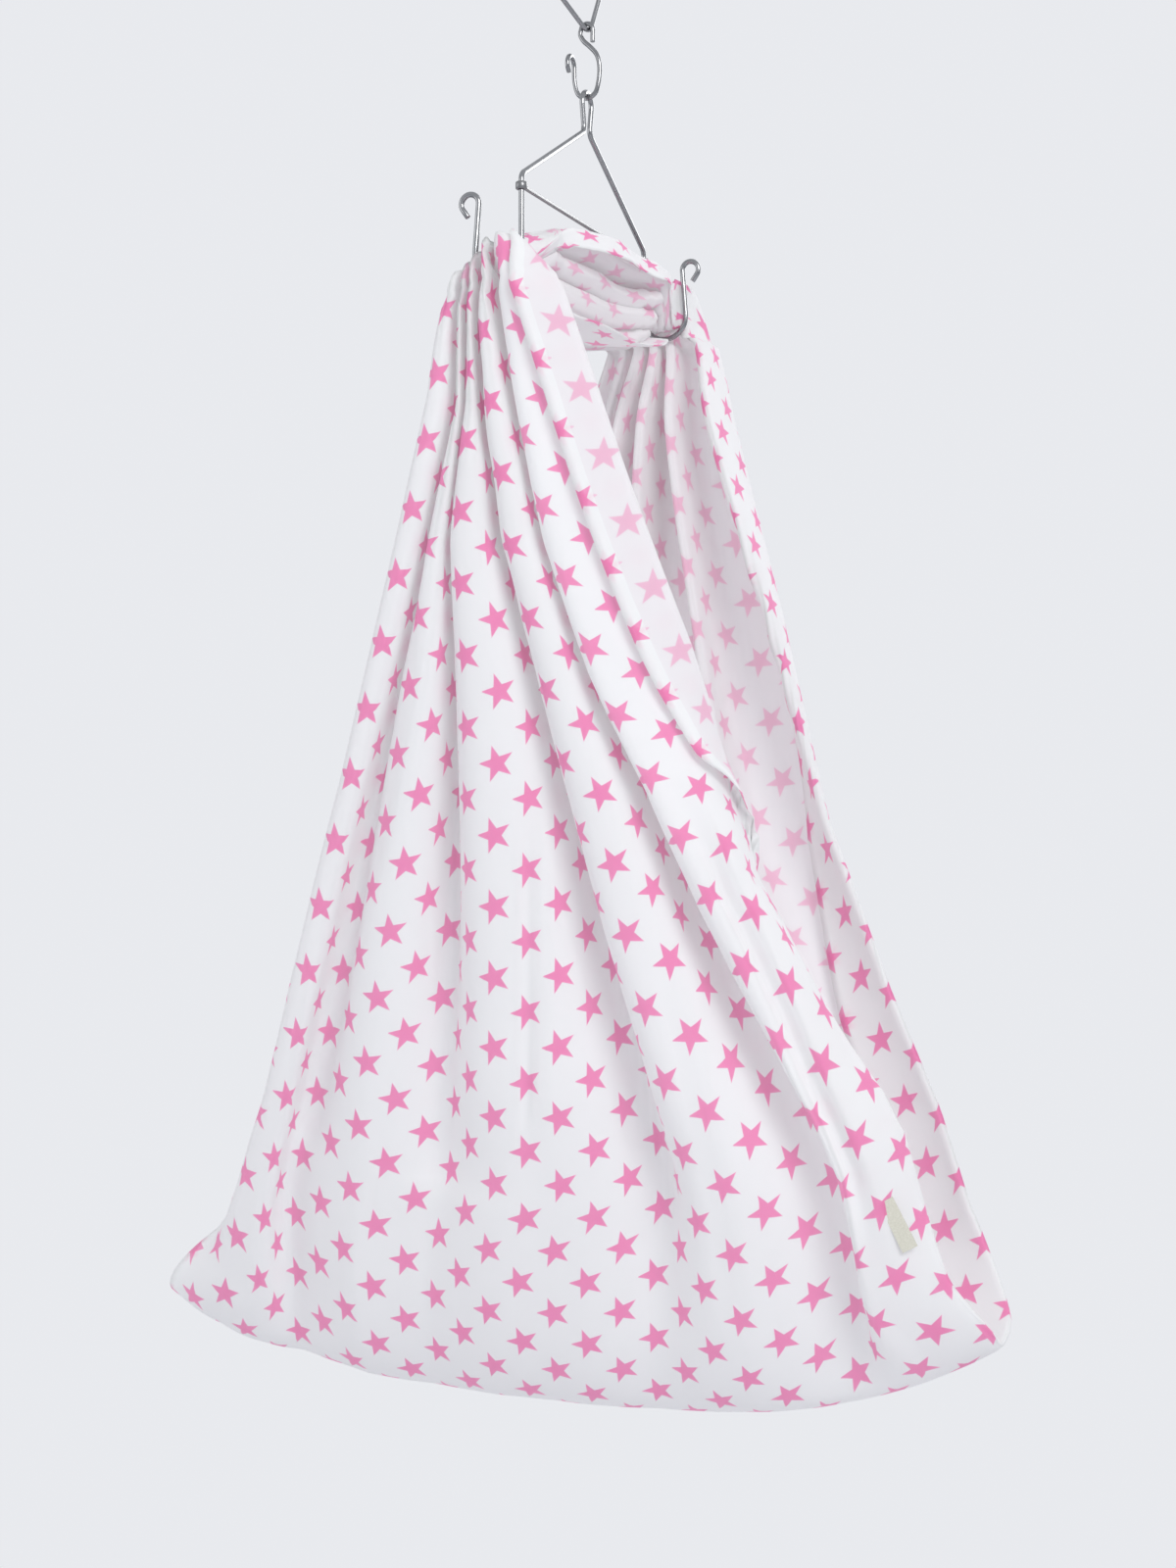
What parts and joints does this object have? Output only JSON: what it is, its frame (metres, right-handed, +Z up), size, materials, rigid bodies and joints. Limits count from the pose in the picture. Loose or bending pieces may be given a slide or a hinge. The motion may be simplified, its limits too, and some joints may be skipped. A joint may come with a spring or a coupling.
{
  "type": "hanging baby cradle",
  "caption": "Hanging baby cradle: a tube of star-printed cotton gathered over the two hooks of a bent wire hanger, which hangs from an S-hook and a wire link.",
  "frame": {"origin": "on the top bar of the hanging link, straight above its bottom bend, where the cradle is held up", "axes": "+Z up; X along the cradle from one open end to the other; Y from the near hook to the far hook"},
  "size_m": [0.808, 0.3934, 1.2701],
  "materials": {
    "link_wire": "bright plated round steel wire",
    "hook_wire": "bright plated round steel wire",
    "hanger_wire": "bright plated round steel wire",
    "bar_wire": "satin plated round steel wire",
    "cotton": "plain-woven white cotton with pink five-pointed stars",
    "label": "bare woven tape"
  },
  "bodies": {
    "link": {"hanging_link": "link_wire"},
    "s_hook": {"s_hook": "hook_wire"},
    "hanger": {"hanger_wire": "hanger_wire", "cross_bar": "bar_wire", "cradle_cloth": "cotton", "cloth_label": "label"}
  },
  "joints": [
    {"name": "hook_swing", "type": "hinge", "parent": "link", "child": "s_hook", "pos_m": [0, 0, -0.038], "axis": [0.4226, 0.9063, 0], "range_deg": [-20, 20]},
    {"name": "hanger_swing", "type": "hinge", "parent": "s_hook", "child": "hanger", "pos_m": [0, 0, -0.0997], "axis": [1, 0, 0], "range_deg": [-20, 20]}
  ]
}
